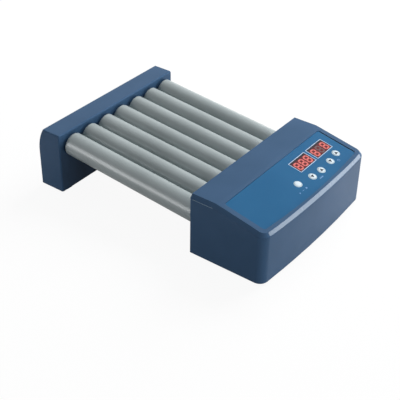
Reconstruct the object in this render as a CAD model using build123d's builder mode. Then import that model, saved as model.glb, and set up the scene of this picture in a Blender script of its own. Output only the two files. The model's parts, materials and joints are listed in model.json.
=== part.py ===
from build123d import *
from math import acos, atan2, cos, pi, radians, sin, sqrt, tan
import os

# Tube roller mixer. Seven rollers lie between a control housing and a rear housing.
# Each roller turns on spindles that are set off its centre, upwards at one end and
# downwards at the other, so that a tube lying on two rollers rolls and rocks.
# Frame: +X across the rollers, +Y along them away from the controls, +Z up, millimetres.
# The origin is the middle of the footprint, and z = 0 is the bench under the feet.

# Both housings
housing_width = 260.0
housing_height = 95.0
wall = 3.0
foot_height = 4.0
roller_span = 236.0

# Control housing
control_depth = 122.0
front_bow = 5.0
corner_radius = 13.0
flat_depth = 37.0
nose_drop = 16.0
rim_height = 6.0
cover_wall = 3.0
cover_chamfer = 4.5
seam_gap = 0.3
lip_wall = 1.5
lip_depth = 3.0
lip_clearance = 0.2

# Rear housing
rear_depth = 43.0
rear_top_depth = 32.0
rear_waist_height = 58.0
rear_edge_radius = 2.5
rear_end_chamfer = 1.5

# Base plates, their pillars and the feet
plate_thickness = 2.0
plate_rebate = 1.6
fit_clearance = 0.2
pillar_size = 7.0
foot_size = 13.0
foot_taper = 12.0
foot_edge = 18.0
front_foot_setback = 32.0
rear_foot_setback = 9.0
rear_pillar_setback = 25.0
rear_pillar_edge = 40.0

# Rollers
roller_count = 7
roller_edge = 25.0
roller_gap = 1.0
roller_axis_drop = 32.5
spindle_cover = 2.0
end_clearance = 0.7
spindle_radius = 4.0
running_clearance = 0.05
spindle_end = 1.0

# Gears: straight-sided teeth, roller gears below and idlers above them
roller_teeth = 12
idler_teeth = 9
idler_rise = 11.6
pressure_angle = radians(20)
tooth_tip = 0.9
tooth_root = 1.15
backlash = 0.1
gear_width = 8.0
gear_gap = 1.0
idler_pin_radius = 2.0
pin_end = 1.0
rail_thickness = 3.0
rail_half_height = 6.4
rail_end_gap = 4.0

# Gear motor and its bracket
motor_shaft_radius = 3.0
motor_shaft_offset = 9.0
gearbox_size = (38.0, 36.0)
gearbox_length = 22.0
motor_radius = 16.0
motor_length = 32.0
motor_boss_size = 12.0
motor_boss_height = 2.0
bracket_thickness = 3.0
bracket_gap = 4.0
bracket_width = 84.0
bracket_base_gap = 8.0
bracket_rise = 16.5
post_size = 8.0
post_half_pitch = 35.0
post_low_rise = 7.0
post_high_drop = 14.0

# Tie rods
tie_rod_radius = 6.0
tie_rod_half_pitch = 60.0
tie_rod_clearance = 4.5

# Panel on the sloping face: distances run down the slope from the break, and setbacks
# run across it from the panel's right edge
panel_start = 8.5
panel_edge = 12.5
panel_end_at_sides = 73.0
panel_end_at_middle = 79.0
panel_corner_radius = 4.0
panel_recess = 1.2
overlay_thickness = 0.5

# Displays
display_size = (38.5, 20.5)
display_setbacks = (80.3, 35.5)
display_down = 32.3
window_ledge = 0.5
window_gap = 0.2
display_height = 8.0
display_fit = 0.25

# Keys
key_names = ("start", "speed_down", "speed_up", "time_down", "time_up")
key_setbacks = (125.2, 95.5, 73.9, 46.8, 24.8)
key_arc_setback = 73.5
key_arc_radius = 215.0
key_arc_low = 60.0
key_radius = 4.9
key_clearance = 0.3
key_proud = 0.6
key_travel = 0.5
key_slot_setbacks = (133.5, 16.5)
key_slot_down = (48.5, 67.0)
switch_clearance = 0.1
switch_size = 6.0
switch_height = 4.0

# Control board
board_thickness = 1.6
board_setbacks = (137.5, 7.5)
board_down = (14.0, 68.0)
board_rib = 4.0

# Power socket and power switch in the right end wall
inlet_height = 30.0
inlet_recess = 4.2
inlet_recess_size = (58.0, 26.0)
socket_setback = 78.0
socket_size = 11.0
socket_proud = 1.5
socket_depth = 10.0
socket_bore = 3.1
socket_bore_depth = 9.0
switch_setback = 49.0
switch_flange = (21.0, 15.0)
switch_flange_thickness = 1.5
switch_frame_size = (19.0, 13.0)
switch_frame_depth = 13.0
switch_pocket = (17.4, 10.8)
rocker_size = (16.0, 10.4)
rocker_pivot_depth = 2.0
rocker_crown = 2.2
rocker_rise = 1.0
rocker_skirt = 3.0
rocker_belly = 7.0
switch_pocket_depth = 10.2
rocker_tilt = 9.0

# Places that follow from the sizes
overall_length = control_depth + roller_span + rear_depth
half_width = housing_width / 2
y_front = -overall_length / 2
y_corner = y_front + front_bow
y_control = y_front + control_depth
y_break = y_control - flat_depth
y_rear = y_control + roller_span
y_back = overall_length / 2
z_base = foot_height
z_top = z_base + housing_height
slope = atan2(nose_drop, y_break - y_corner)
slope_plane = Plane(origin=(0, y_break, z_top), x_dir=(1, 0, 0), z_dir=(0, -sin(slope), cos(slope)))

roller_pitch = (housing_width - 2 * roller_edge) / (roller_count - 1)
roller_radius = (roller_pitch - roller_gap) / 2
roller_throw = roller_radius - spindle_radius - spindle_cover
roller_x = [(i - (roller_count - 1) / 2) * roller_pitch for i in range(roller_count)]
z_axis = z_top - roller_axis_drop
end_gap = end_clearance + roller_radius * 2 * roller_throw / roller_span
y_tube_front = y_control + end_gap
y_tube_rear = y_rear - end_gap
z_tube_front = z_axis - roller_throw
tube_tilt = atan2(2 * roller_throw, y_tube_rear - y_tube_front)
tube_length = (y_tube_rear - y_tube_front) / cos(tube_tilt)
tube_axis = (0, cos(tube_tilt), sin(tube_tilt))

y_rail = y_control - wall - rail_thickness
y_gear_rear = y_rail - gear_gap
y_gear_front = y_gear_rear - gear_width
y_bracket = y_gear_front - bracket_gap
y_gearbox = y_bracket - bracket_thickness

gear_centres = sqrt((roller_pitch / 2) ** 2 + idler_rise**2)
gear_module = 2 * gear_centres / (roller_teeth + idler_teeth)
idler_radius = gear_module * idler_teeth / 2
idler_x = [(a + b) / 2 for a, b in zip(roller_x, roller_x[1:])]
z_idler = z_axis + idler_rise
rail_half_length = idler_x[-1] + idler_radius + rail_end_gap
drive_roller = roller_count // 2
x_pinion = roller_x[drive_roller]
z_pinion = z_axis - gear_centres
z_gearbox = z_pinion - motor_shaft_offset

plate_inset = wall - plate_rebate
z_plate_top = z_base + plate_thickness
pillar_inset = wall + 2 * fit_clearance + pillar_size / 2
pillar_back = y_control - y_gear_front + gear_gap + pillar_size / 2
control_pillars = [
    (side * (half_width - inset_x), y)
    for side in (-1, 1)
    for inset_x, y in (
        (pillar_inset, y_control - pillar_back),
        (corner_radius, y_corner + corner_radius),
    )
]
rear_pillars = [(i * (half_width - rear_pillar_edge), y_rear + rear_pillar_setback) for i in (-1, 0, 1)]
control_feet = [
    (side * (half_width - foot_edge), y)
    for side in (-1, 1)
    for y in (y_control - foot_edge, y_corner + front_foot_setback)
]
rear_feet = [(side * (half_width - foot_edge), y_rear + rear_foot_setback) for side in (-1, 1)]

z_tie_rod = z_tube_front - roller_radius - tie_rod_clearance - tie_rod_radius
z_bracket = (z_plate_top + bracket_base_gap, z_pinion + bracket_rise)
post_places = [
    (x_pinion + side * post_half_pitch, z)
    for side in (-1, 1)
    for z in (z_bracket[0] + post_low_rise, z_bracket[1] - post_high_drop)
]
socket_place = (y_control - socket_setback, z_base + inlet_height)
switch_place = (y_control - switch_setback, z_base + inlet_height)
x_inlet = half_width - inlet_recess
inlet_place = ((socket_place[0] + switch_place[0]) / 2, z_base + inlet_height)
x_pivot = x_inlet + switch_flange_thickness - rocker_pivot_depth

x_panel = half_width - panel_edge
key_arc_centre = key_arc_low - key_arc_radius
key_places = [
    (x_panel - setback, -key_arc_centre - sqrt(key_arc_radius**2 - (setback - key_arc_setback) ** 2))
    for setback in key_setbacks
]
key_slot_centre = (x_panel - sum(key_slot_setbacks) / 2, -sum(key_slot_down) / 2)
key_slot_size = (key_slot_setbacks[0] - key_slot_setbacks[1], key_slot_down[1] - key_slot_down[0])
display_places = [(x_panel - setback, -display_down) for setback in display_setbacks]
board_depth = panel_recess + window_gap + display_height
board_centre = (x_panel - sum(board_setbacks) / 2, -sum(board_down) / 2)
board_size = (board_setbacks[0] - board_setbacks[1], board_down[1] - board_down[0])
board_rib_places = [(x_panel - setback, board_centre[1]) for setback in board_setbacks]
key_bottom = board_depth - switch_height - key_travel - switch_clearance

os.makedirs("parts", exist_ok=True)


def save(part, name):
    """Names a finished piece and writes it to its own file."""
    part.label = name
    export_step(part, f"parts/{name}.step")


def facing_front(x, y, z):
    """Upright plane at a point: sketches lie in X and Z, and a positive extrusion runs to the front."""
    return Plane(origin=(x, y, z), x_dir=(1, 0, 0), z_dir=(0, -1, 0))


def polar(radius, angle):
    """Point at a radius and an angle in radians."""
    return (radius * cos(angle), radius * sin(angle))


def control_plan(inset):
    """The control housing seen from above, drawn in by inset: bowed front and round front corners."""
    half = half_width - inset
    y_ends = y_corner + inset
    with BuildSketch(mode=Mode.PRIVATE) as plan:
        with BuildLine():
            Polyline((-half, y_ends), (-half, y_control - inset), (half, y_control - inset), (half, y_ends))
            ThreePointArc((-half, y_ends), (0, y_ends - front_bow), (half, y_ends))
        make_face()
        fillet(plan.vertices().group_by(Axis.Y)[0], corner_radius - inset)
    return plan.sketch


def control_form(inset, drop):
    """Block on the plan drawn in by inset, whose flat and sloping top lie lower by drop."""
    y_turn = y_break + drop * tan(slope / 2)
    z_turn = z_top - drop
    y_far = y_front - housing_height
    with BuildPart(mode=Mode.PRIVATE) as form:
        with BuildSketch(Plane.XY.offset(z_base)):
            add(control_plan(inset))
        extrude(amount=housing_height)
        with BuildSketch(Plane.YZ):
            with BuildLine():
                Polyline(
                    (y_far, 0),
                    (y_far, z_turn - (y_turn - y_far) * tan(slope)),
                    (y_turn, z_turn),
                    (y_back, z_turn),
                    (y_back, 0),
                    close=True,
                )
            make_face()
        extrude(amount=housing_width, both=True, mode=Mode.INTERSECT)
    return form.part


def panel_outline(inset):
    """Outline of the panel on the sloping face, drawn in by inset: straight top, bowed lower edge."""
    half = x_panel - inset
    low = -(panel_end_at_sides - inset)
    with BuildSketch(mode=Mode.PRIVATE) as outline:
        with BuildLine():
            Polyline((-half, low), (-half, -panel_start - inset), (half, -panel_start - inset), (half, low))
            ThreePointArc((-half, low), (0, low - panel_end_at_middle + panel_end_at_sides), (half, low))
        make_face()
        fillet(outline.vertices(), panel_corner_radius - inset)
    return outline.sketch


def gear(plane, teeth, phase):
    """Spur gear with straight-sided teeth whose root and tip widths follow the involute."""
    pitch = gear_module * teeth / 2
    base = pitch * cos(pressure_angle)
    tip = pitch + tooth_tip * gear_module
    root = pitch - tooth_root * gear_module
    half_root = pi / (2 * teeth) - backlash / (2 * pitch) + tan(pressure_angle) - pressure_angle
    tip_angle = acos(base / tip)
    half_tip = half_root - tan(tip_angle) + tip_angle
    corners = []
    for i in range(teeth):
        middle = phase + 2 * pi * i / teeth
        corners.append(polar(root, middle - half_root))
        corners.append(polar(tip, middle - half_tip))
        corners.append(polar(tip, middle + half_tip))
        corners.append(polar(root, middle + half_root))
    with BuildPart(mode=Mode.PRIVATE) as piece:
        with BuildSketch(plane):
            with BuildLine():
                Polyline(*corners, close=True)
            make_face()
        extrude(amount=gear_width)
    return piece.part


def meshed_phase(phase, teeth, mate_teeth, direction):
    """Phase of a gear that meshes with one of known phase; direction points from the known one to it."""
    turns = (direction - phase) * teeth / (2 * pi)
    return direction + pi - (0.5 - turns) * 2 * pi / mate_teeth


def make_control_housing():
    """Lower moulding: four walls, open above and below, with a rebate for the base plate."""
    recess_back = [size + 2 * wall for size in inlet_recess_size]
    with BuildPart() as control_housing:
        add(control_form(0, rim_height + seam_gap))
        add(control_form(wall, 0), mode=Mode.SUBTRACT)
        with BuildSketch(Plane.YZ.offset(x_inlet - wall)):
            with Locations(inlet_place):
                Rectangle(*recess_back)
        extrude(amount=inlet_recess)
        with BuildSketch(Plane.YZ.offset(x_inlet)):
            with Locations(inlet_place):
                Rectangle(*inlet_recess_size)
        extrude(amount=inlet_recess, mode=Mode.SUBTRACT)
        with BuildSketch(Plane.XY.offset(z_base)):
            add(control_plan(plate_inset))
        extrude(amount=plate_thickness, mode=Mode.SUBTRACT)
        with BuildSketch(facing_front(0, y_control, z_axis)):
            with Locations(*[(x, 0) for x in roller_x]):
                Circle(spindle_radius + running_clearance)
        extrude(amount=wall, mode=Mode.SUBTRACT)
        with BuildSketch(Plane.YZ.offset(x_inlet - wall)):
            with Locations(switch_place):
                Rectangle(*[size + fit_clearance for size in switch_frame_size])
            with Locations(socket_place):
                Rectangle(socket_size + fit_clearance, socket_size + fit_clearance)
        extrude(amount=wall, mode=Mode.SUBTRACT)
    return control_housing.part


def make_cover_supports():
    """What hangs under the cover: pillars down to the base plate and two ribs for the board."""
    with BuildPart() as supports:
        with BuildSketch(Plane.XY.offset(z_plate_top)):
            with Locations(*control_pillars):
                Rectangle(pillar_size, pillar_size)
        extrude(amount=housing_height)
        with BuildSketch(slope_plane.offset(-board_depth)):
            with Locations(*board_rib_places):
                Rectangle(board_rib, board_size[1])
        extrude(amount=board_depth)
        add(control_form(0, cover_wall / 2), mode=Mode.INTERSECT)
    return supports.part


def make_top_cover():
    """Sloping cover: chamfered rim, locating lip, panel recess, openings, pillars and ribs."""
    lip_inset = wall + lip_clearance
    outside_lip = control_form(-fit_clearance, rim_height) - control_form(lip_inset, 0)
    with BuildPart() as top_cover:
        add(control_form(0, 0))
        top_faces = top_cover.faces().filter_by(lambda face: face.normal_at().Z > 0.9)
        rim = [
            edge
            for edge in top_faces.edges()
            if edge.center().Y < y_control - fit_clearance and abs(edge.center().Y - y_break) > fit_clearance
        ]
        chamfer(rim, cover_chamfer)
        add(control_form(lip_inset + lip_wall, cover_wall), mode=Mode.SUBTRACT)
        add(outside_lip, mode=Mode.SUBTRACT)
        add(control_form(-fit_clearance, rim_height + lip_depth), mode=Mode.SUBTRACT)
        with BuildSketch(slope_plane):
            add(panel_outline(0))
        extrude(amount=-panel_recess, mode=Mode.SUBTRACT)
        with BuildSketch(slope_plane):
            with Locations(*display_places):
                Rectangle(*[size - 2 * window_ledge for size in display_size])
            with Locations(key_slot_centre):
                Rectangle(*key_slot_size)
        extrude(amount=-2 * cover_wall, mode=Mode.SUBTRACT)
        add(make_cover_supports())
    return top_cover.part


def make_panel_overlay():
    """Thin sheet in the cover's recess, open at the displays and the keys."""
    with BuildPart() as overlay:
        with BuildSketch(slope_plane.offset(-panel_recess)):
            add(panel_outline(fit_clearance))
            with Locations(*display_places):
                Rectangle(*[size + fit_clearance for size in display_size], mode=Mode.SUBTRACT)
            with Locations(*key_places):
                Circle(key_radius + key_clearance, mode=Mode.SUBTRACT)
        extrude(amount=overlay_thickness)
    return overlay.part


def make_display_windows():
    """Two tinted windows, flush with the overlay, each resting on the ledge round its opening."""
    with BuildPart() as windows:
        with BuildSketch(slope_plane.offset(-panel_recess)):
            with Locations(*display_places):
                Rectangle(*display_size)
        extrude(amount=overlay_thickness)
    return windows.part


def make_display(place):
    """Display module: a block on the board whose face lies just under the window."""
    size = [side - 2 * (window_ledge + display_fit) for side in display_size]
    with BuildPart() as display:
        with BuildSketch(slope_plane.offset(-board_depth)):
            with Locations(place):
                Rectangle(*size)
        extrude(amount=display_height)
    return display.part


def make_control_board():
    """Printed circuit board on the cover's two ribs."""
    with BuildPart() as board:
        with BuildSketch(slope_plane.offset(-board_depth)):
            with Locations(board_centre):
                Rectangle(board_size[0] + board_rib, board_size[1])
        extrude(amount=-board_thickness)
    return board.part


def make_key_switches():
    """Five push switches on the board, one under each key."""
    with BuildPart() as switches:
        with BuildSketch(slope_plane.offset(-board_depth)):
            with Locations(*key_places):
                Rectangle(switch_size, switch_size)
        extrude(amount=switch_height)
    return switches.part


def make_key(place):
    """Round key that stands a little proud of the panel sheet and reaches down to its switch."""
    key_top = key_proud - panel_recess + overlay_thickness
    with BuildPart() as key:
        with BuildSketch(slope_plane.offset(-key_bottom)):
            with Locations(place):
                Circle(key_radius)
        extrude(amount=key_bottom + key_top)
    return key.part


def make_control_base_plate():
    """Sheet metal base of the control housing."""
    with BuildPart() as plate:
        with BuildSketch(Plane.XY.offset(z_base)):
            add(control_plan(plate_inset + fit_clearance))
        extrude(amount=plate_thickness)
    return plate.part


def rear_form(inset):
    """Block of the rear housing, drawn in by inset at its top and its sides: the outer face swells."""
    z_low = z_base - inset
    with BuildPart(mode=Mode.PRIVATE) as form:
        with BuildSketch(Plane.YZ):
            with BuildLine():
                Polyline((y_rear + rear_top_depth, z_top), (y_rear, z_top), (y_rear, z_low), (y_back, z_low))
                waist = Line((y_back, z_low), (y_back, z_base + rear_waist_height))
                TangentArc(waist @ 1, (y_rear + rear_top_depth, z_top), tangent=waist % 1)
            make_face()
            if inset > 0:
                offset(amount=-inset, kind=Kind.INTERSECTION)
        extrude(amount=half_width - inset, both=True)
    return form.part


def make_rear_housing():
    """Rear moulding with a rounded inner top edge and bevelled ends, open below for its base plate."""
    with BuildPart() as rear_housing:
        add(rear_form(0))
        inner_face = rear_housing.faces().sort_by(Axis.Y)[0]
        fillet(inner_face.edges().sort_by(Axis.Z)[-1], rear_edge_radius)
        end_edges = rear_housing.faces().filter_by(Axis.X).edges()
        chamfer(end_edges.filter_by(lambda edge: edge.center().Z > z_base + fit_clearance), rear_end_chamfer)
        add(rear_form(wall), mode=Mode.SUBTRACT)
        with BuildSketch(Plane.XY.offset(z_base)):
            with Locations((0, y_rear + rear_depth / 2)):
                Rectangle(housing_width - 2 * plate_inset, rear_depth - 2 * plate_inset)
        extrude(amount=plate_thickness, mode=Mode.SUBTRACT)
        with BuildSketch(Plane.XY.offset(z_plate_top)):
            with Locations(*rear_pillars):
                Rectangle(pillar_size, pillar_size)
        extrude(amount=z_top - z_plate_top - wall / 2)
        with BuildSketch(facing_front(0, y_rear, z_axis)):
            with Locations(*[(x, 0) for x in roller_x]):
                Circle(spindle_radius + running_clearance)
        extrude(amount=-wall, mode=Mode.SUBTRACT)
    return rear_housing.part


def make_rear_base_plate():
    """Sheet metal base of the rear housing."""
    gap = plate_inset + fit_clearance
    with BuildPart() as plate:
        with BuildSketch(Plane.XY.offset(z_base)):
            with Locations((0, y_rear + rear_depth / 2)):
                Rectangle(housing_width - 2 * gap, rear_depth - 2 * gap)
        extrude(amount=plate_thickness)
    return plate.part


def make_idler_rail():
    """Steel strip on the inside of the control housing's roller side, with six pins for the idlers."""
    with BuildPart() as rail:
        with BuildSketch(facing_front(0, y_control - wall, z_idler)):
            Rectangle(2 * rail_half_length, 2 * rail_half_height)
        extrude(amount=rail_thickness)
        with BuildSketch(facing_front(0, y_rail, z_idler)):
            with Locations(*[(x, 0) for x in idler_x]):
                Circle(idler_pin_radius)
        extrude(amount=gear_gap + gear_width + pin_end)
    return rail.part


def tube_plane(x, along):
    """Plane square to a roller, at a distance along it from its front end."""
    origin = (x, y_tube_front + along * cos(tube_tilt), z_tube_front + along * sin(tube_tilt))
    return Plane(origin=origin, x_dir=(1, 0, 0), z_dir=tube_axis)


def make_roller_body(x):
    """Roller body between its end faces, tilted as the offset spindles hold it."""
    with BuildPart() as body:
        with BuildSketch(tube_plane(x, 0)):
            Circle(roller_radius)
        extrude(amount=tube_length)
    return body.part


def make_roller_spindles(x, phase):
    """Level spindles on the roller's slanting end faces: a long one with the gear, and a short one."""
    reach = roller_radius * sin(tube_tilt)
    with BuildPart(mode=Mode.PRIVATE) as rear:
        with BuildSketch(facing_front(x, y_rear + wall + spindle_end, z_axis)):
            Circle(spindle_radius)
        extrude(amount=wall + spindle_end + end_gap + reach)
        split(bisect_by=tube_plane(x, tube_length), keep=Keep.TOP)
    with BuildPart() as spindles:
        with BuildSketch(facing_front(x, y_tube_front + reach, z_axis)):
            Circle(spindle_radius)
        extrude(amount=y_tube_front + reach - y_gear_rear)
        split(bisect_by=tube_plane(x, 0), keep=Keep.BOTTOM)
        add(gear(facing_front(x, y_gear_rear, z_axis), roller_teeth, phase))
        add(rear.part)
    return spindles.part


def make_idler_gear(x, phase):
    """Idler gear that turns on its pin."""
    with BuildPart() as idler:
        add(gear(facing_front(x, y_gear_rear, z_idler), idler_teeth, phase))
        with BuildSketch(facing_front(x, y_gear_rear, z_idler)):
            Circle(idler_pin_radius + running_clearance)
        extrude(amount=gear_width, mode=Mode.SUBTRACT)
    return idler.part


def make_motor_pinion(phase):
    """Pinion and its shaft, which ends at the gear motor's boss."""
    with BuildPart() as pinion:
        add(gear(facing_front(x_pinion, y_gear_rear, z_pinion), idler_teeth, phase))
        with BuildSketch(facing_front(x_pinion, y_gear_front, z_pinion)):
            Circle(motor_shaft_radius)
        extrude(amount=y_gear_front - y_gearbox - motor_boss_height)
    return pinion.part


def make_gear_motor():
    """Gear motor: gearbox block with an offset output boss, and the round motor can in front."""
    with BuildPart() as motor:
        with BuildSketch(facing_front(x_pinion, y_gearbox, z_gearbox)):
            Rectangle(*gearbox_size)
        extrude(amount=gearbox_length)
        with BuildSketch(facing_front(x_pinion, y_gearbox - gearbox_length, z_gearbox)):
            Circle(motor_radius)
        extrude(amount=motor_length)
        with BuildSketch(facing_front(x_pinion, y_gearbox, z_pinion)):
            Rectangle(motor_boss_size, motor_boss_size)
        extrude(amount=-motor_boss_height)
    return motor.part


def make_motor_bracket():
    """Plate that carries the gear motor, on four posts from the control housing's roller side."""
    boss_hole = motor_boss_size + 2 * fit_clearance
    with BuildPart() as bracket:
        with BuildSketch(facing_front(0, y_bracket, 0)):
            with Locations((x_pinion, (z_bracket[0] + z_bracket[1]) / 2)):
                Rectangle(bracket_width, z_bracket[1] - z_bracket[0])
            with Locations((x_pinion, z_pinion)):
                Rectangle(boss_hole, boss_hole, mode=Mode.SUBTRACT)
        extrude(amount=bracket_thickness)
        with BuildSketch(facing_front(0, y_control - wall, 0)):
            with Locations(*post_places):
                Rectangle(post_size, post_size)
        extrude(amount=y_control - wall - y_bracket)
    return bracket.part


def make_tie_rod(x):
    """Round rod that joins the two housings."""
    with BuildPart() as rod:
        with BuildSketch(facing_front(x, y_rear, z_tie_rod)):
            Circle(tie_rod_radius)
        extrude(amount=roller_span)
    return rod.part


def make_feet():
    """Square rubber feet, tapered to the bench: four under the controls and two at the rear."""
    with BuildPart() as feet:
        with BuildSketch(Plane.XY.offset(z_base)):
            with Locations(*control_feet, *rear_feet):
                Rectangle(foot_size, foot_size)
        extrude(amount=-foot_height, taper=foot_taper)
    return feet.part


def make_power_socket():
    """Low-voltage power socket: square body with a round bore."""
    face = x_inlet + socket_proud
    with BuildPart() as socket:
        with BuildSketch(Plane.YZ.offset(face)):
            with Locations(socket_place):
                Rectangle(socket_size, socket_size)
        extrude(amount=-socket_depth - socket_proud)
        with BuildSketch(Plane.YZ.offset(face)):
            with Locations(socket_place):
                Circle(socket_bore)
        extrude(amount=-socket_bore_depth, mode=Mode.SUBTRACT)
    return socket.part


def make_switch_frame():
    """Snap-in frame of the power switch: flange, body and the pocket for the rocker."""
    face = x_inlet + switch_flange_thickness
    with BuildPart() as frame:
        with BuildSketch(Plane.YZ.offset(x_inlet)):
            with Locations(switch_place):
                Rectangle(*switch_flange)
        extrude(amount=switch_flange_thickness)
        with BuildSketch(Plane.YZ.offset(x_inlet)):
            with Locations(switch_place):
                Rectangle(*switch_frame_size)
        extrude(amount=-switch_frame_depth)
        with BuildSketch(Plane.YZ.offset(face)):
            with Locations(switch_place):
                Rectangle(*switch_pocket)
        extrude(amount=-switch_pocket_depth, mode=Mode.SUBTRACT)
    return frame.part


def make_power_rocker():
    """Rocker of the power switch, pressed down at one end."""
    length, width = rocker_size
    end = length / 2
    pivot_plane = Plane(origin=(x_pivot, *switch_place), x_dir=(0, 1, 0), z_dir=(0, 0, -1))
    with BuildPart() as rocker:
        with BuildSketch(pivot_plane.rotated((0, 0, rocker_tilt))):
            with BuildLine():
                Polyline(
                    (-end, -rocker_skirt),
                    (-end, rocker_crown + rocker_rise),
                    (0, rocker_crown),
                    (end, rocker_crown + rocker_rise),
                    (end, -rocker_skirt),
                )
                ThreePointArc((-end, -rocker_skirt), (0, -rocker_belly), (end, -rocker_skirt))
            make_face()
        extrude(amount=width / 2, both=True)
    return rocker.part


def gear_phases():
    """Phases of the roller gears and idlers, each meshed with the one before it."""
    roller_phases, idler_phases = [pi / 2], []
    up = atan2(idler_rise, roller_pitch / 2)
    for _ in idler_x:
        idler_phases.append(meshed_phase(roller_phases[-1], roller_teeth, idler_teeth, up))
        roller_phases.append(meshed_phase(idler_phases[-1], idler_teeth, roller_teeth, -up))
    return roller_phases, idler_phases


save(make_control_housing(), "control_housing")
save(make_top_cover(), "top_cover")
save(make_control_base_plate(), "control_base_plate")
save(make_panel_overlay(), "panel_overlay")
save(make_display_windows(), "display_windows")
for name, place in zip(("display_left", "display_right"), display_places):
    save(make_display(place), name)
save(make_control_board(), "control_board")
save(make_key_switches(), "key_switches")
for name, place in zip(key_names, key_places):
    save(make_key(place), f"key_{name}")
save(make_power_socket(), "power_socket")
save(make_switch_frame(), "power_switch_frame")
save(make_power_rocker(), "power_rocker")

save(make_rear_housing(), "rear_housing")
save(make_rear_base_plate(), "rear_base_plate")
save(make_idler_rail(), "idler_rail")
save(make_motor_bracket(), "motor_bracket")
save(make_gear_motor(), "gear_motor")
save(make_feet(), "feet")
for name, side in (("tie_rod_left", -1), ("tie_rod_right", 1)):
    save(make_tie_rod(side * tie_rod_half_pitch), name)

roller_phases, idler_phases = gear_phases()
for number, (x, phase) in enumerate(zip(roller_x, roller_phases), start=1):
    save(make_roller_body(x), f"roller_body_{number}")
    save(make_roller_spindles(x, phase), f"roller_spindles_{number}")
for number, (x, phase) in enumerate(zip(idler_x, idler_phases), start=1):
    save(make_idler_gear(x, phase), f"idler_gear_{number}")
pinion_phase = meshed_phase(roller_phases[drive_roller], roller_teeth, idler_teeth, -pi / 2)
save(make_motor_pinion(pinion_phase), "motor_pinion")
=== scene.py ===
import json
import math
import bmesh
import bpy
from mathutils import Matrix, Vector


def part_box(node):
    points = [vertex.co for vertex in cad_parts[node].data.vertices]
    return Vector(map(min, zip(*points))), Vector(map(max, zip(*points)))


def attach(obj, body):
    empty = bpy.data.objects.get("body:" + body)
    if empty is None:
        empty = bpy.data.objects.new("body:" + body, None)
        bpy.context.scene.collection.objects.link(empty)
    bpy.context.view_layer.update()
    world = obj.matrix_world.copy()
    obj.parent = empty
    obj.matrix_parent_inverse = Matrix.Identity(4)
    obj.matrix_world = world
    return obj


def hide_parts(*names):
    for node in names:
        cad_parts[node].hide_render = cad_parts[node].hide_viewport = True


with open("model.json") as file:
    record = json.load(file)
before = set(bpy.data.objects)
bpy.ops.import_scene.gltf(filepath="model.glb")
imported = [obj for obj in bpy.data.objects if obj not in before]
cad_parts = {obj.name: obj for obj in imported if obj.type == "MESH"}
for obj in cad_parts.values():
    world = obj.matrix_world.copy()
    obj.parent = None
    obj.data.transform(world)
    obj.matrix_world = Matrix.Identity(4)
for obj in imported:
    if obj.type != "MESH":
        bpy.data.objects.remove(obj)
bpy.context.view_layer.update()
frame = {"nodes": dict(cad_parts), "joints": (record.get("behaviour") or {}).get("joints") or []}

# Sizes in metres that follow the photograph where the frame doesn't hold them

# Sloping face: depth of the flat behind it, level of the sheet on it, thickness of its print
FLAT_DEPTH = 0.037
SHEET_TOP = -0.0007
PRINT = 0.00005

# Painted shade at the sheet's right end, a black strip where the recess wall is in shade: width,
# distance from the end, how much shorter than the sheet
SHADE_STRIP_WIDTH = 0.0010
SHADE_STRIP_SETBACK = 0.0006
SHADE_STRIP_SHORT = 0.008

# Displays: gap of the frame round the window and width of its line, lit field, digits
FRAME_GAP = 0.0001
FRAME_LINE = 0.0009
LIT_FIELD = (0.0372, 0.0166)
DIGIT_SIZE = (0.0100, 0.0154)
DIGIT_BAR = 0.0025
DIGIT_GAP = 0.0002
DIGIT_PITCH = 0.0122
DIGIT_DROP = 0.0013

# Keys: rounding, radii of the printed rim, half width of the triangle and reach of its base
KEYS = ("start", "speed_down", "speed_up", "time_down", "time_up")
KEY_ROUND = 0.0007
KEY_RIM = (0.0053, 0.0061)
MARK_HALF = 0.0031
MARK_BACK = 0.0021

# Rollers: rounding of the ends, width of the flat lip and of its inner edge; depth of the plug in
# the mouth, its dish as shares of the mouth's radius, rise of its rim
ROLLER_ROUND = 0.003
ROLLER_LIP = 0.0006
LIP_EDGE = 0.0002
PLUG_DEPTH = 0.0016
PLUG_DISH = (0.74, 0.78)
PLUG_RIM = 0.0004

# Rounded edges: widths, least angle of a sharp edge, reach of the spindle holes from their axis
EDGE = 0.0007
COVER_EDGE = 0.0004
FOOT_EDGE = 0.0012
INLET_EDGE = 0.0003
ROCKER_EDGE = 0.0004
SHARP = math.radians(28)
RIM_REACH = 0.006

# Bush flanges: bore, radius, thickness, slant of the edge
BUSH_BORE = 0.0041
BUSH_RADIUS = 0.0068
BUSH_FLANGE = 0.0004
BUSH_EDGE = 0.0002

# Pale strips in the seam, a painted highlight of the seam's edge: length, height and rounding,
# distance from the roller side, rise over the housing, depths
SEAM_SIZE = (0.032, 0.0007, 0.0003)
SEAM_SETBACK = 0.0195
SEAM_RISE = 0.00015
SEAM_DEPTHS = (0.00005, 0.0008)

# Face of the cover's front bevel: its depth from the front, tilt as the normal's z, half length and
# slack at the ends, height off the cover, most drop of its upper and least drop of its lower edge
# below the slope, number of stations, inset of its long edges and of its ends
BEVEL_REACH = 0.0085
BEVEL_TILT = (0.3, 0.85)
BEVEL_HALF = 0.1183
BEVEL_SLACK = 0.002
BEVEL_LIFT = 0.0002
BEVEL_TOP = 0.0001
BEVEL_DROP = 0.0044
BEVEL_STATIONS = 40
BEVEL_INSET = 0.07
BEVEL_ENDS = ((0.99, 0.12), (1, 0.3))

# Power socket: profiles of its mouth and its pin, depth of the pin's foot
SOCKET_MOUTH = ((0.0031, 0), (0.0031, 0.0001), (0.0038, 0.0001), (0.0038, 0))
PIN_DEPTH = 0.009
SOCKET_PIN = (
    (0, 0.0003),
    (0.0010, 0.0003),
    (0.0010, 0.0066),
    (0.0008, 0.0071),
    (0.0004, 0.0073),
    (0, 0.0073),
)

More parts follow.
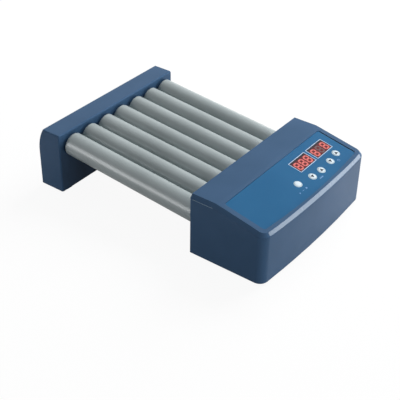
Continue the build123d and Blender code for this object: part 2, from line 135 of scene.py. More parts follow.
# Power switch: least x of the normals of the rocker's faces; its signs, with the radii of the ring
# and the width, length and rounding of the bar
ROCKER_FACING = 0.7
ROCKER_RING = (0.0015, 0.0011)
ROCKER_BAR = (0.0005, 0.0032, 0.0002)

# Screws: profile and height of the head, half length and half width of a slot of the flat black cross
# that stands for the recess as painted shade, places (x, y) under the base plates
SCREW_HEAD = ((0, 0.0017), (0.0016, 0.0016), (0.0026, 0.0011), (0.0030, 0.0004), (0.0030, 0), (0, 0))
SCREW_HEIGHT = SCREW_HEAD[0][1]
SLOT_REACH = 0.0014
SLOT_HALF = 0.0004
SCREWS = (
    (-0.1231, -0.098),
    (0.1231, -0.098),
    (-0.117, -0.1825),
    (0.117, -0.1825),
    (-0.09, 0.1825),
    (0, 0.1825),
    (0.09, 0.1825),
)

joints = {joint["name"]: joint for joint in frame["joints"]}
cover_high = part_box("top_cover")[1]
front_low, front_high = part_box("control_housing")
rear_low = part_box("rear_housing")[0]
window_low, window_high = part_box("display_windows")
y_control = front_high.y
y_rear = rear_low.y
z_axis = joints["roller_4_spin"]["pos_m"][2]
roller_count = sum(name.startswith("roller_") for name in joints)

# Ways through the frame: across and along the rollers, and up
across = Vector((1, 0, 0))
along = Vector((0, 1, 0))
up = Vector((0, 0, 1))

# The sloping face: x runs across, down runs towards the front edge, out stands off it
out = -Vector(joints["key_start_press"]["axis"])
down = Vector((0, -out.z, out.y))
break_point = Vector((0, y_control - FLAT_DEPTH, cover_high.z))


def on_slope(x, s, height=0.0):
    """Point of the sloping face: x across, s down from the break, height off the face."""
    return break_point + across * x + down * s + out * height


def srgb(red, green, blue):
    """Linear colour from 0 to 255 values."""
    values = []
    for value in (red, green, blue):
        c = value / 255
        values.append(c / 12.92 if c <= 0.04045 else ((c + 0.055) / 1.055) ** 2.4)
    return (*values, 1.0)


# Materials


def new_material(name):
    """Node material with its Principled shader."""
    material = bpy.data.materials.new(name)
    material.use_nodes = True
    nodes = material.node_tree.nodes
    return material, nodes, material.node_tree.links, nodes["Principled BSDF"]


def add_noise(nodes, links, scale, detail, stretch=(1, 1, 1)):
    """Noise in the object's own coordinates, stretched along an axis if asked."""
    place = nodes.new("ShaderNodeTexCoord")
    mapping = nodes.new("ShaderNodeMapping")
    mapping.inputs["Scale"].default_value = stretch
    noise = nodes.new("ShaderNodeTexNoise")
    noise.inputs["Scale"].default_value = scale
    noise.inputs["Detail"].default_value = detail
    links.new(place.outputs["Object"], mapping.inputs["Vector"])
    links.new(mapping.outputs["Vector"], noise.inputs["Vector"])
    return noise


def vary_color(nodes, links, shader, noise, dark, light):
    """Base colour that drifts between two near colours."""
    ramp = nodes.new("ShaderNodeValToRGB")
    ramp.color_ramp.elements[0].position = 0.35
    ramp.color_ramp.elements[0].color = dark
    ramp.color_ramp.elements[1].position = 0.65
    ramp.color_ramp.elements[1].color = light
    links.new(noise.outputs["Fac"], ramp.inputs["Fac"])
    links.new(ramp.outputs["Color"], shader.inputs["Base Color"])


def vary_roughness(nodes, links, shader, noise, low, high):
    """Roughness that drifts between two values."""
    spread = nodes.new("ShaderNodeMapRange")
    spread.inputs["To Min"].default_value = low
    spread.inputs["To Max"].default_value = high
    links.new(noise.outputs["Fac"], spread.inputs["Value"])
    links.new(spread.outputs["Result"], shader.inputs["Roughness"])


def add_bump(nodes, links, shader, noise, strength, distance):
    """Fine relief of the surface."""
    bump = nodes.new("ShaderNodeBump")
    bump.inputs["Strength"].default_value = strength
    bump.inputs["Distance"].default_value = distance
    links.new(noise.outputs["Fac"], bump.inputs["Height"])
    links.new(bump.outputs["Normal"], shader.inputs["Normal"])


# Grains of plastic: scale of the noise, strength and depth of its relief
FINE = (1800, 0.06, 0.00005)
COARSE = (1400, 0.12, 0.0001)


def plastic(name, dark, light, rough=(0.38, 0.48), grain=COARSE, gloss=0.3):
    """Moulded plastic: colour and gloss drift a little, and a fine grain covers it."""
    scale, strength, depth = grain
    material, nodes, links, shader = new_material(name)
    shader.inputs["Specular IOR Level"].default_value = gloss
    vary_color(nodes, links, shader, add_noise(nodes, links, 14, 3), dark, light)
    vary_roughness(nodes, links, shader, add_noise(nodes, links, 60, 4), *rough)
    add_bump(nodes, links, shader, add_noise(nodes, links, scale, 2), strength, depth)
    return material


def metal(name, dark, light, rough=(0.22, 0.36), stretch=(60, 1, 60)):
    """Turned or rolled metal, with fine marks along one direction."""
    material, nodes, links, shader = new_material(name)
    shader.inputs["Metallic"].default_value = 1.0
    marks = add_noise(nodes, links, 30, 4, stretch)
    vary_color(nodes, links, shader, marks, dark, light)
    vary_roughness(nodes, links, shader, marks, *rough)
    add_bump(nodes, links, shader, marks, 0.1, 0.00005)
    return material


def glowing(name, color):
    """Lit part of a display, a little uneven across it."""
    material, nodes, links, shader = new_material(name)
    shader.inputs["Base Color"].default_value = (0.01, 0.005, 0.005, 1)
    shader.inputs["Roughness"].default_value = 0.4
    shader.inputs["Specular IOR Level"].default_value = 0.2
    shader.inputs["Emission Strength"].default_value = 1.0
    glow = nodes.new("ShaderNodeValToRGB")
    glow.color_ramp.elements[0].color = [value * 0.85 for value in color[:3]] + [1]
    glow.color_ramp.elements[1].color = color
    links.new(add_noise(nodes, links, 500, 1).outputs["Fac"], glow.inputs["Fac"])
    links.new(glow.outputs["Color"], shader.inputs["Emission Color"])
    return material


# Each plastic: darker and lighter colour, then roughness, grain and gloss where they aren't the usual
PLASTICS = {
    "housing_plastic": ((58, 87, 118), (63, 92, 124), (0.26, 0.32), FINE, 0.1),
    # Front bevel face: its gloss is real, its pale colour a painted highlight
    "trim_plastic": ((114, 134, 157), (120, 140, 163), (0.24, 0.3), FINE, 0.7),
    # Seam strips: their pale colour is a painted highlight of the seam's edge
    "seam_plastic": ((150, 172, 186), (158, 180, 194), (0.4, 0.5)),
    "panel_sheet": ((32, 91, 133), (37, 96, 138), (0.34, 0.4), FINE, 0.12),
    "roller_skin": ((152, 162, 163), (160, 170, 171), (0.27, 0.33), FINE, 0.6),
    "cap_plastic": ((90, 98, 100), (98, 106, 108), (0.42, 0.52)),
    "key_plastic": ((210, 222, 230), (217, 229, 237), (0.3, 0.4), FINE),
    "print_white": ((186, 206, 230), (196, 216, 238), (0.45, 0.55)),
    "print_rim": ((196, 216, 220), (204, 224, 228), (0.45, 0.55)),
    "print_pale": ((110, 150, 196), (120, 160, 204), (0.45, 0.55)),
    "print_dark": ((44, 50, 56), (52, 58, 64), (0.5, 0.6)),
    # Black plastic, also used as painted shade for the sheet's end strip and the screw crosses
    "black_plastic": ((24, 25, 27), (30, 31, 33), (0.32, 0.42)),
    "foot_rubber": ((66, 68, 70), (76, 78, 80), (0.7, 0.85), (700, 0.3, 0.0002)),
    "base_paint": ((44, 48, 54), (50, 54, 60), (0.5, 0.6), (1600, 0.3, 0.0001)),
    "gear_plastic": ((222, 218, 204), (230, 227, 214), (0.35, 0.45)),
    "board_green": ((18, 84, 44), (24, 96, 52), (0.3, 0.4)),
    "bush_plastic": ((30, 32, 36), (38, 40, 44), (0.35, 0.45)),
    "window_tint": ((52, 44, 52), (58, 48, 56), (0.2, 0.26), (900, 0.02, 0.00002), 0.2),
}
# Each metal: darker and lighter colour, then roughness and stretch of its marks where not the usual
METALS = {
    "spindle_steel": ((168, 170, 172), (190, 191, 193)),
    "zinc_steel": ((150, 153, 152), (176, 178, 176), (0.35, 0.5), (20, 20, 20)),
    "motor_metal": ((120, 122, 124), (150, 151, 153), (0.3, 0.45), (20, 1, 20)),
}
LIGHTS = {"segment_on": (238, 126, 120), "segment_dim": (120, 98, 100), "segment_back": (104, 24, 32)}

materials = {}
for make, table in ((plastic, PLASTICS), (metal, METALS)):
    for name, (dark, light, *rest) in table.items():
        materials[name] = make(name, srgb(*dark), srgb(*light), *rest)
for name, color in LIGHTS.items():
    materials[name] = glowing(name, srgb(*color))


# Mesh helpers


def set_material(mesh, material):
    """Gives a mesh one material, by its name."""
    mesh.materials.clear()
    mesh.materials.append(materials[material])


def add_piece(name, mesh, material, body):
    """Links a piece that rides on a body."""
    set_material(mesh, material)
    piece = bpy.data.objects.new(name, mesh)
    bpy.context.scene.collection.objects.link(piece)
    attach(piece, body)
    return piece


def mesh_from(name, work, smooth=True):
    """Finishes a bmesh as a mesh."""
    bmesh.ops.recalc_face_normals(work, faces=work.faces)
    mesh = bpy.data.meshes.new(name)
    work.to_mesh(mesh)
    work.free()
    mesh.polygons.foreach_set("use_smooth", [smooth] * len(mesh.polygons))
    return mesh


def lathe(profile, start, axis, steps=96):
    """Turns a profile of (radius, distance along the axis) points about an axis."""
    turn = Vector(axis).to_track_quat("Z", "Y").to_matrix()
    work = bmesh.new()
    rings = []
    for radius, distance in profile:
        if radius == 0:
            rings.append([work.verts.new(Vector(start) + turn @ Vector((0, 0, distance)))])
            continue
        ring = []
        for i in range(steps):
            angle = 2 * math.pi * i / steps
            place = Vector((radius * math.cos(angle), radius * math.sin(angle), distance))
            ring.append(work.verts.new(Vector(start) + turn @ place))
        rings.append(ring)
    for low, high in zip(rings, rings[1:]):
        for i in range(steps):
            j = (i + 1) % steps
            if len(low) == 1:
                work.faces.new((low[0], high[j], high[i]))
            elif len(high) == 1:
                work.faces.new((low[i], low[j], high[0]))
            else:
                work.faces.new((low[i], low[j], high[j], high[i]))
    return work


def plates(outlines, place, low, high):
    """Flat plates from outlines of (u, v) points; place maps (u, v, height) to space."""
    work = bmesh.new()
    for outline in outlines:
        bottom = [work.verts.new(place(u, v, low)) for u, v in outline]
        top = [work.verts.new(place(u, v, high)) for u, v in outline]
        work.faces.new(bottom)
        work.faces.new(top)
        for i in range(len(outline)):
            j = (i + 1) % len(outline)
            work.faces.new((bottom[i], bottom[j], top[j], top[i]))
    return work


def ring_plate(outer, inner, place, low, high):
    """Flat ring between two outlines with equal numbers of points."""
    work = bmesh.new()
    loops = [
        [work.verts.new(place(u, v, height)) for u, v in outline]
        for outline, height in ((outer, low), (inner, low), (inner, high), (outer, high))
    ]
    for first, second in zip(loops, loops[1:] + loops[:1]):
        for i in range(len(outer)):
            j = (i + 1) % len(outer)
            work.faces.new((first[i], first[j], second[j], second[i]))
    return work


def rounded_box(width, depth, radius, centre=(0, 0), steps=5):
    """Outline of a rectangle with rounded corners."""
    points = []
    for k in range(4):
        angle = k * math.pi / 2
        corner_u = (width / 2 - radius) * (1 if k in (0, 3) else -1)
        corner_v = (depth / 2 - radius) * (1 if k in (0, 1) else -1)
        for i in range(steps + 1):
            turn = angle + i / steps * math.pi / 2
            u = centre[0] + corner_u + radius * math.cos(turn)
            v = centre[1] + corner_v + radius * math.sin(turn)
            points.append((u, v))
    return points


def round_outline(radius, centre=(0, 0), steps=32):
    """Outline of a circle."""
    turns = [2 * math.pi * i / steps for i in range(steps)]
    u, v = centre
    return [(u + radius * math.cos(turn), v + radius * math.sin(turn)) for turn in turns]


def box_outline(u_low, v_low, u_high, v_high):
    """Outline of a plain rectangle."""
    return [(u_low, v_low), (u_high, v_low), (u_high, v_high), (u_low, v_high)]


def on_plane(centre, across_way, up_way, away):
    """Function that places (u, v, height) on a plane through a point."""

    def place(u, v, height):
        return centre + across_way * u + up_way * v + away * height

    return place


def soft_copy(node, material, body, width=EDGE, turned_at=None):
    """Copy of a CAD node with its sharp edges rounded off, which stands for the node.

    The spindle holes keep their edges, which the bush flanges hide. The copy is turned end for
    end about the y that turned_at gives, if any.
    """
    work = bmesh.new()
    work.from_mesh(frame["nodes"][node].data)
    bmesh.ops.remove_doubles(work, verts=work.verts, dist=1e-6)
    bmesh.ops.dissolve_limit(work, angle_limit=math.radians(1), verts=work.verts, edges=work.edges)
    bmesh.ops.triangulate(work, faces=work.faces)
    weight = work.edges.layers.float.new("bevel_weight_edge")
    for edge in work.edges:
        at_spindle = all(abs(vertex.co.z - z_axis) < RIM_REACH for vertex in edge.verts)
        edge[weight] = float(edge.calc_face_angle(0) > SHARP and not at_spindle)
    if turned_at is not None:
        for vertex in work.verts:
            vertex.co.y = 2 * turned_at - vertex.co.y
    name = node + "_soft"
    piece = add_piece(name, mesh_from(name, work), material, body)
    bevel = piece.modifiers.new("edges", "BEVEL")
    bevel.width = width
    bevel.segments = 3
    bevel.limit_method = "WEIGHT"
    bevel.miter_outer = "MITER_ARC"
    even = piece.modifiers.new("even", "WEIGHTED_NORMAL")
    even.mode = "FACE_AREA"
    even.weight = 100
    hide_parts(node)


def paint(node, material):
    """Gives a carried-over CAD node its material."""
    set_material(frame["nodes"][node].data, material)


# The camera stands where the photograph was taken


def make_camera():
    """Camera at the photograph's angle, with its lens, its small tilt and its shift."""
    target = Vector((-0.0581, -0.0406, 0.044))
    azimuth, elevation, roll = math.radians(-53.77), math.radians(34.70), math.radians(0.933)
    distance = 1.3068
    side = math.cos(elevation)
    back = Vector((math.sin(azimuth) * side, -math.cos(azimuth) * side, math.sin(elevation)))
    right = up.cross(back).normalized()
    turn = Matrix((right, back.cross(right), back)).transposed() @ Matrix.Rotation(roll, 3, "Z")
    data = bpy.data.cameras.new("camera")
    data.sensor_width = 36
    data.lens = 83.69
    data.shift_x = 0.00125
    data.shift_y = -0.0135
    camera = bpy.data.objects.new("camera", data)
    camera.matrix_world = Matrix.Translation(target + back * distance) @ turn.to_4x4()
    bpy.context.scene.collection.objects.link(camera)
    bpy.context.scene.camera = camera


# Housings


def dress_housings():
    """Mouldings and feet with rounded edges, and a pale strip in the seam at both ends, a painted
    highlight of the seam's edge.
    """
    soft_copy("control_housing", "housing_plastic", "base")
    soft_copy("rear_housing", "housing_plastic", "base")
    soft_copy("top_cover", "housing_plastic", "base", COVER_EDGE)
    soft_copy("feet", "foot_rubber", "base", FOOT_EDGE)
    for side, name in ((-1, "left"), (1, "right")):
        middle = Vector((side * front_high.x, y_control - SEAM_SETBACK, front_high.z + SEAM_RISE))
        line = rounded_box(*SEAM_SIZE, steps=2)
        work = plates([line], on_plane(middle, along, up, -side * across), *SEAM_DEPTHS)
        add_piece(f"seam_{name}", mesh_from("seam", work, False), "seam_plastic", "base")


def bevel_edges():
    """Upper and lower edge points of the cover's front bevel, from left to right."""
    upper, lower = {}, {}
    mesh = frame["nodes"]["top_cover"].data
    for polygon in mesh.polygons:
        behind = polygon.center.y > front_low.y + BEVEL_REACH
        if behind or not BEVEL_TILT[0] < polygon.normal.z < BEVEL_TILT[1]:
            continue
        for index in polygon.vertices:
            point = mesh.vertices[index].co
            if abs(point.x) > BEVEL_HALF + BEVEL_SLACK:
                continue
            rise = (point - break_point).dot(out)
            if rise > -BEVEL_TOP:
                upper[round(point.x, 5)] = point.copy()
            elif rise < -BEVEL_DROP:
                lower[round(point.x, 5)] = point.copy()
    return [[edge[x] for x in sorted(edge)] for edge in (upper, lower)]


def edge_point(points, x):
    """Point of a left to right run of points at a given x."""
    for first, second in zip(points, points[1:]):
        if first.x <= x <= second.x:
            return first.lerp(second, (x - first.x) / (second.x - first.x))
    raise ValueError(f"no edge at {x}")


def dress_bevel():
    """Satin face on the cover's front bevel, coloured paler than the housing as a painted highlight of
    the light along the bevel.
    """
    upper, lower = bevel_edges()
    inner = range(1 - BEVEL_STATIONS, BEVEL_STATIONS)
    ends = [(BEVEL_HALF * share, inset) for share, inset in BEVEL_ENDS]
    stations = [(-x, inset) for x, inset in reversed(ends)]
    stations += [(BEVEL_HALF * i / BEVEL_STATIONS, BEVEL_INSET) for i in inner] + ends
    work = bmesh.new()
    loops = []
    for x, inset in stations:
        high, low = edge_point(upper, x), edge_point(lower, x)
        slant = (low - high).normalized()
        away = across.cross(slant).normalized()
        if away.y > 0:
            away = -away
        corners = []
        for share, lift in ((inset, 0), (1 - inset, 0), (1 - inset, BEVEL_LIFT), (inset, BEVEL_LIFT)):
            corners.append(work.verts.new(high.lerp(low, share) + away * lift))
        loops.append(corners)
    for first, second in zip(loops, loops[1:]):
        for i in range(4):
            j = (i + 1) % 4
            work.faces.new((first[i], first[j], second[j], second[i]))
    work.faces.new(loops[0])
    work.faces.new(loops[-1])
    mesh = mesh_from("front_bevel", work)
    mesh.set_sharp_from_angle(angle=math.radians(40))
    add_piece("front_bevel", mesh, "trim_plastic", "base")


def dress_bushes():
    """Thin flanges of the bearing bushes where the spindles enter both housings."""
    profile = [
        (BUSH_BORE, 0),
        (BUSH_BORE, BUSH_FLANGE),
        (BUSH_RADIUS - BUSH_EDGE, BUSH_FLANGE),
        (BUSH_RADIUS, BUSH_FLANGE / 2),
        (BUSH_RADIUS, 0),
        (BUSH_BORE, 0),
    ]
    for number in range(1, roller_count + 1):
        x = joints[f"roller_{number}_spin"]["pos_m"][0]
        for name, y, side in (("front", y_control, 1), ("rear", y_rear, -1)):
            work = lathe(profile, (x, y, z_axis), (0, side, 0), 40)
            mesh = mesh_from("bush", work, False)
            add_piece(f"bush_{number}_{name}", mesh, "bush_plastic", "base")


# Rollers


def dress_rollers():
    """Each roller: a long skin with rounded ends, and a darker cap in each end."""
    for number in range(1, roller_count + 1):
        body = f"roller_{number}"
        node = f"roller_body_{number}"
        points = [vertex.co for vertex in frame["nodes"][node].data.vertices]
        middle_y = (min(point.y for point in points) + max(point.y for point in points)) / 2
        front = [point for point in points if point.y < middle_y]
        back = [point for point in points if point.y >= middle_y]
        start = sum(front, Vector()) / len(front)
        end = sum(back, Vector()) / len(back)
        radius = max((point - start).length for point in front)
        axis = end - start
        mesh = mesh_from("skin", lathe(roller_profile(radius, axis.length), start, axis))
        skin = add_piece(f"{body}_skin", mesh, "roller_skin", body)
        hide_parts(node)
        for name, origin, inwards in (("front", start, axis), ("rear", end, -axis)):
            mesh = mesh_from("cap", lathe(cap_profile(radius), origin, inwards))
            add_piece(f"{body}_cap_{name}", mesh, "cap_plastic", body)


def mouth_radius(radius):
    """Inner radius of a roller tube's mouth."""
    return radius - ROLLER_ROUND - ROLLER_LIP


def roller_profile(radius, length):
    """Outside of a roller tube with rounded lips, and the start of its bore at both ends."""
    mouth = mouth_radius(radius)
    near = [(mouth, PLUG_DEPTH), (mouth, LIP_EDGE), (mouth + LIP_EDGE, 0)]
    for i in range(9):
        turn = i / 8 * math.pi / 2
        across_lip = radius - ROLLER_ROUND + ROLLER_ROUND * math.sin(turn)
        near.append((across_lip, ROLLER_ROUND - ROLLER_ROUND * math.cos(turn)))
    return near + [(r, length - distance) for r, distance in reversed(near)]


def cap_profile(radius):
    """Face of the plug in a roller's end: a shallow dished disc."""
    mouth = mouth_radius(radius)
    return [
        (0, 0.0),
        (mouth * PLUG_DISH[0], 0.0),
        (mouth * PLUG_DISH[1], PLUG_RIM),
        (mouth - 0.0003, PLUG_RIM),
        (mouth + 0.0001, PLUG_DEPTH),
    ]


# Panel


def segment(start, end):
    """Six-cornered bar of a digit between two points, a little short of both."""
    start, end = Vector(start), Vector(end)
    way = (end - start).normalized()
    side = Vector((-way.y, way.x)) * (DIGIT_BAR / 2)
    near = start + way * DIGIT_GAP
    far = end - way * DIGIT_GAP
    shoulder = way * (DIGIT_BAR / 2)
    upper = (near + shoulder + side, far - shoulder + side)
    lower = (far - shoulder - side, near + shoulder - side)
    return [tuple(point) for point in (near, *upper, far, *lower)]


def digit_outlines(x, s):
    """The seven bars of a digit round its middle, on the sloping face."""
    half_width = (DIGIT_SIZE[0] - DIGIT_BAR) / 2
    half_height = (DIGIT_SIZE[1] - DIGIT_BAR) / 2
    corners = {}
    for name_u, u in (("left", x - half_width), ("right", x + half_width)):
        for name_v, v in (("top", s - half_height), ("middle", s), ("low", s + half_height)):
            corners[name_u, name_v] = (u, v)
    levels = ("top", "middle", "low")
    bars = [segment(corners["left", level], corners["right", level]) for level in levels]
    for side in ("left", "right"):
        bars.append(segment(corners[side, "top"], corners[side, "middle"]))
        bars.append(segment(corners[side, "middle"], corners[side, "low"]))
    return bars


def slope_extent(points):
    """Lowest and highest x, distance down the slope and height of some points."""
    places = [(p.x, (p - break_point).dot(down), (p - break_point).dot(out)) for p in points]
    return [(min(values), max(values)) for values in zip(*places)]


def dress_displays():
    """Tinted windows with a printed frame round each, and three lit digits in each."""
    paint("display_windows", "window_tint")
    corners = [vertex.co for vertex in frame["nodes"]["display_windows"].data.vertices]
    middle_x = (window_low.x + window_high.x) / 2
    for name, side in (("left", -1), ("right", 1)):
        x, s, _ = slope_extent([corner for corner in corners if (corner.x - middle_x) * side > 0])
        centre = (sum(x) / 2, sum(s) / 2)
        size = [high - low + 2 * FRAME_GAP for low, high in (x, s)]
        outer_size = [length + 2 * FRAME_LINE for length in size]
        outer = rounded_box(*outer_size, 0.0006, centre, 3)
        inner = rounded_box(*size, 0.0002, centre, 3)
        work = ring_plate(outer, inner, on_slope, SHEET_TOP, SHEET_TOP + PRINT)
        mesh = mesh_from("frame", work, False)
        add_piece(f"frame_{name}", mesh, "print_white", "base")
        middle = (centre[0], centre[1] + DIGIT_DROP)
        lit = rounded_box(*LIT_FIELD, 0.0004, middle, 2)
        work = plates([lit], on_slope, SHEET_TOP, SHEET_TOP + PRINT / 2)
        mesh = mesh_from("back", work, False)
        add_piece(f"digit_back_{name}", mesh, "segment_back", "base")
        for i in (-1, 0, 1):
            glow = "segment_dim" if name == "right" and i == 0 else "segment_on"
            outlines = digit_outlines(middle[0] + i * DIGIT_PITCH, middle[1])
            work = plates(outlines, on_slope, SHEET_TOP, SHEET_TOP + PRINT)
            mesh = mesh_from("digit", work, False)
            add_piece(f"digit_{name}_{i + 2}", mesh, glow, "base")


def dress_keys():
    """Round keys with a soft rim; all but the first carry a triangle."""
    for name in KEYS:
        node = f"key_{name}"
        body = f"{node}_body"
        x, s, height = slope_extent([vertex.co for vertex in frame["nodes"][node].data.vertices])
        x, s, radius = sum(x) / 2, sum(s) / 2, (x[1] - x[0]) / 2
        rise = height[1] - height[0]
        profile = [(0, 0), (radius, 0)]
        for i in range(7):
            turn = i / 6 * math.pi / 2
            level = rise - KEY_ROUND + KEY_ROUND * math.sin(turn)
            profile.append((radius - KEY_ROUND + KEY_ROUND * math.cos(turn), level))
        profile.append((0, rise))
        work = lathe(profile, on_slope(x, s, height[0]), out, 64)
        skin = add_piece(f"{node}_cap", mesh_from("key", work), "key_plastic", body)
        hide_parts(node)
        rim = [round_outline(r, (x, s), 48) for r in reversed(KEY_RIM)]
        work = ring_plate(*rim, on_slope, SHEET_TOP, SHEET_TOP + PRINT)
        add_piece(f"{node}_rim", mesh_from("rim", work, False), "print_rim", "base")
        if name == "start":
            continue
        tip = -1 if name.endswith("up") else 1
        base = s - tip * MARK_BACK
        mark = [(x - MARK_HALF, base), (x + MARK_HALF, base), (x, s + tip * MARK_HALF)]
        work = plates([mark], on_slope, height[1], height[1] + PRINT)
        add_piece(f"{node}_mark", mesh_from("mark", work, False), "print_dark", body)


# Printed signs on the panel: outlines of points (x, s); the clock of the time sign has a ring
SIGNS = {
    "start_stop": [
        [(-0.0222, 0.0646), (-0.0222, 0.0674), (-0.0196, 0.066)],
        box_outline(-0.0150, 0.0657, -0.0110, 0.0663),
        box_outline(-0.0064, 0.0647, -0.0038, 0.0673),
    ],
    "speed": [[(x, 0.0670), (x, 0.0698), (x + 0.0026, 0.0684)] for x in (0.0268, 0.0296, 0.0324)],
    "time_hands": [
        box_outline(0.0820, 0.0638, 0.0824, 0.0657),
        box_outline(0.0820, 0.0653, 0.0836, 0.0657),
    ],
}
CLOCK_CENTRE = (0.0822, 0.0655)
CLOCK_RING = (0.0023, 0.0018)


def dress_panel():
    """The sheet, a black strip of painted shade at its right end, and its printed signs: start and
    stop, speed, and time.
    """
    paint("panel_overlay", "panel_sheet")
    x, s, _ = slope_extent([vertex.co for vertex in frame["nodes"]["panel_overlay"].data.vertices])
    centre = (x[1] - SHADE_STRIP_SETBACK, sum(s) / 2)
    # Black strip along the sheet's right end: painted shade of the recess wall
    gap = rounded_box(SHADE_STRIP_WIDTH, s[1] - s[0] - SHADE_STRIP_SHORT, 0.0003, centre, 2)
    work = plates([gap], on_slope, SHEET_TOP, SHEET_TOP + PRINT / 2)
    add_piece("sheet_painted_shade", mesh_from("gap", work, False), "black_plastic", "base")
    low, high = SHEET_TOP, SHEET_TOP + PRINT
    for name, outlines in SIGNS.items():
        work = plates(outlines, on_slope, low, high)
        add_piece(f"sign_{name}", mesh_from("sign", work, False), "print_pale", "base")
    rim = [round_outline(radius, CLOCK_CENTRE) for radius in CLOCK_RING]
    work = ring_plate(*rim, on_slope, low, high)
    add_piece("sign_time_ring", mesh_from("sign", work, False), "print_pale", "base")


# Power socket, power switch and screws


def dress_inlet():
    """Socket with its bright mouth and pin, and the frame of the switch."""
    soft_copy("power_socket", "black_plastic", "base", INLET_EDGE)
    soft_copy("power_switch_frame", "black_plastic", "base", INLET_EDGE)
    low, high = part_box("power_socket")
    y, z = (low.y + high.y) / 2, (low.z + high.z) / 2
    work = lathe(SOCKET_MOUTH, (high.x, y, z), across, 48)
    add_piece("socket_mouth", mesh_from("mouth", work, False), "spindle_steel", "base")
    work = lathe(SOCKET_PIN, (high.x - PIN_DEPTH, y, z), across, 24)
    add_piece("socket_pin", mesh_from("pin", work), "spindle_steel", "base")


def dress_rocker():
    """Rocker turned end for end: it rests pressed at its bar, and its joint presses the ring's end."""
    y_pivot = joints["power_rocker_tilt"]["pos_m"][1]
    soft_copy("power_rocker", "black_plastic", "rocker", ROCKER_EDGE, y_pivot)
    sides = {}
    for polygon in frame["nodes"]["power_rocker"].data.polygons:
        if polygon.normal.x > ROCKER_FACING and polygon.area > 0:
            sides.setdefault(round(polygon.normal.y, 2), []).append(polygon)
    wide = sorted(sides.values(), key=lambda found: -sum(polygon.area for polygon in found))[:2]
    for found in wide:
        area = sum(polygon.area for polygon in found)
        centre = sum((polygon.center * polygon.area for polygon in found), Vector()) / area
        normal = found[0].normal.copy()
        centre.y, normal.y = 2 * y_pivot - centre.y, -normal.y
        place = on_plane(centre, up.cross(normal), up, normal)
        if centre.y > y_pivot:
            rings = [round_outline(radius) for radius in ROCKER_RING]
            work = ring_plate(*rings, place, 0, PRINT)
            name = "rocker_ring"
        else:
            work = plates([rounded_box(*ROCKER_BAR)], place, 0, PRINT)
            name = "rocker_bar"
        add_piece(name, mesh_from(name, work, False), "print_white", "rocker")


def dress_screws():
    """Cross-head screws that hold the base plates to the pillars; each cross recess is a flat black
    cross of painted shade.
    """
    plate_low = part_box("control_base_plate")[0].z
    arm, half = SLOT_REACH, SLOT_HALF
    corner = [(-arm, -half), (-half, -half), (-half, -arm)]
    cross = []
    for _ in range(4):
        cross += corner
        corner = [(-v, u) for u, v in corner]
    for number, (x, y) in enumerate(SCREWS, start=1):
        work = lathe(SCREW_HEAD, (x, y, plate_low), -up, 32)
        add_piece(f"screw_{number}", mesh_from("screw", work), "zinc_steel", "base")
        top = Vector((x, y, plate_low - SCREW_HEIGHT))
        # Flat black cross on the head: painted shade of the cross recess
        work = plates([cross], on_plane(top, across, along, -up), 0, PRINT)
        mesh = mesh_from("cross", work, False)
        add_piece(f"screw_{number}_cross", mesh, "black_plastic", "base")


make_camera()
dress_housings()
dress_bevel()
dress_bushes()
dress_rollers()
dress_displays()
dress_keys()
dress_panel()
dress_inlet()
dress_rocker()
dress_screws()

PAINTED = {
    "control_base_plate": "base_paint",
    "rear_base_plate": "base_paint",
    "control_board": "board_green",
    "key_switches": "black_plastic",
    "display_left": "black_plastic",
    "display_right": "black_plastic",
    "idler_rail": "zinc_steel",
    "motor_bracket": "zinc_steel",
    "gear_motor": "motor_metal",
    "motor_pinion": "gear_plastic",
    "tie_rod": "spindle_steel",
    "roller_spindles": "spindle_steel",
    "idler_gear": "gear_plastic",
}
for node in frame["nodes"]:
    for start, material in PAINTED.items():
        if node.startswith(start):
            paint(node, material)


# Stage: pale floor, soft lamps and a white surrounding


def seen_white(nodes, links, shader_output, white, output):
    """Mixes a shader with plain white for what the camera, gloss or glass sees directly."""
    path = nodes.new("ShaderNodeLightPath")
    any_sight = nodes.new("ShaderNodeMath")
    any_sight.operation = "MAXIMUM"
    sight = nodes.new("ShaderNodeMath")
    sight.operation = "MAXIMUM"
    links.new(path.outputs["Is Camera Ray"], any_sight.inputs[0])
    links.new(path.outputs["Is Glossy Ray"], any_sight.inputs[1])
    links.new(any_sight.outputs["Value"], sight.inputs[0])
    links.new(path.outputs["Is Transmission Ray"], sight.inputs[1])
    mix = nodes.new("ShaderNodeMixShader")
    links.new(sight.outputs["Value"], mix.inputs[0])
    links.new(shader_output, mix.inputs[1])
    links.new(white, mix.inputs[2])
    links.new(mix.outputs["Shader"], output)


def make_world():
    """Soft grey light all round; the camera sees white."""
    world = bpy.data.worlds.new("world")
    bpy.context.scene.world = world
    world.use_nodes = True
    nodes = world.node_tree.nodes
    links = world.node_tree.links
    light = nodes["Background"]
    light.inputs["Color"].default_value = (0.92, 0.95, 1.0, 1)
    light.inputs["Strength"].default_value = 0.15
    white = nodes.new("ShaderNodeBackground")
    white.inputs["Color"].default_value = (1, 1, 1, 1)
    white.inputs["Strength"].default_value = 1.0
    output = nodes["World Output"].inputs["Surface"]
    seen_white(nodes, links, light.outputs["Background"], white.outputs["Background"], output)


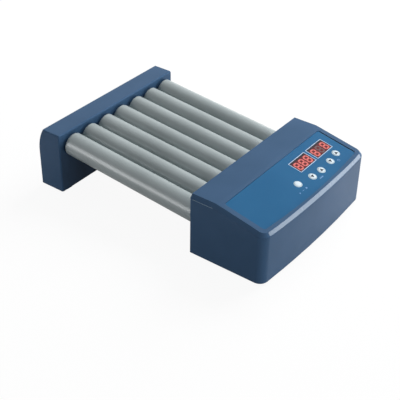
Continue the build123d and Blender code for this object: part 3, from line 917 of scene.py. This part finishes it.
def make_floor():
    """Pale floor that keeps a faint shadow, and throws little light back on the object."""
    work = bmesh.new()
    bmesh.ops.create_grid(work, x_segments=1, y_segments=1, size=6)
    mesh = mesh_from("floor", work, False)
    material, nodes, links, shader = new_material("floor")
    shader.inputs["Base Color"].default_value = (0.12, 0.12, 0.13, 1)
    shader.inputs["Roughness"].default_value = 0.9
    shader.inputs["Specular IOR Level"].default_value = 0.0
    mesh.materials.append(material)
    floor = bpy.data.objects.new("floor", mesh)
    floor.location.z = -0.0002
    bpy.context.scene.collection.objects.link(floor)
    white = nodes.new("ShaderNodeEmission")
    white.inputs["Strength"].default_value = 1.0
    shadow = nodes.new("ShaderNodeBsdfDiffuse")
    shadow.inputs["Color"].default_value = (1, 1, 1, 1)
    path = nodes.new("ShaderNodeLightPath")
    share = nodes.new("ShaderNodeMapRange")
    share.inputs["To Min"].default_value = 0.35
    share.inputs["To Max"].default_value = 0.93
    links.new(path.outputs["Is Camera Ray"], share.inputs["Value"])
    seen = nodes.new("ShaderNodeMixShader")
    links.new(share.outputs["Result"], seen.inputs[0])
    links.new(shadow.outputs["BSDF"], seen.inputs[1])
    links.new(white.outputs["Emission"], seen.inputs[2])
    output = nodes["Material Output"].inputs["Surface"]
    seen_white(nodes, links, shader.outputs["BSDF"], seen.outputs["Shader"], output)


def add_lamp(name, place, size, power, diffuse=True, gloss=True):
    """Soft area lamp aimed at the object; one may light it only, or only show in its gloss."""
    data = bpy.data.lights.new(name, "AREA")
    data.shape = "RECTANGLE"
    data.size, data.size_y = size
    data.energy = power
    lamp = bpy.data.objects.new(name, data)
    lamp.location = place
    lamp.rotation_euler = (Vector((0, 0, 0.05)) - Vector(place)).to_track_quat("-Z", "Y").to_euler()
    lamp.visible_camera = False
    lamp.visible_diffuse = diffuse
    lamp.visible_glossy = gloss
    bpy.context.scene.collection.objects.link(lamp)


make_world()
make_floor()
add_lamp("key", (1.53, -0.2, 1.27), (1.5, 1.5), 61, gloss=False)
add_lamp("front_fill", (0.3, -1.8, 0.15), (1.6, 0.25), 20, gloss=False)
add_lamp("back_fill", (0.3, 1.8, 0.3), (1.6, 0.4), 16, gloss=False)
add_lamp("left_fill", (-1.7, 0.4, 0.2), (1.2, 0.3), 7.5, gloss=False)
add_lamp("left_gloss", (-1.68, 0.97, 0.5), (1.4, 0.9), 18, diffuse=False)
add_lamp("edge_gloss", (1.44, -1.32, 0.34), (1.2, 0.6), 5, diffuse=False)
bpy.context.scene.view_settings.view_transform = "Standard"
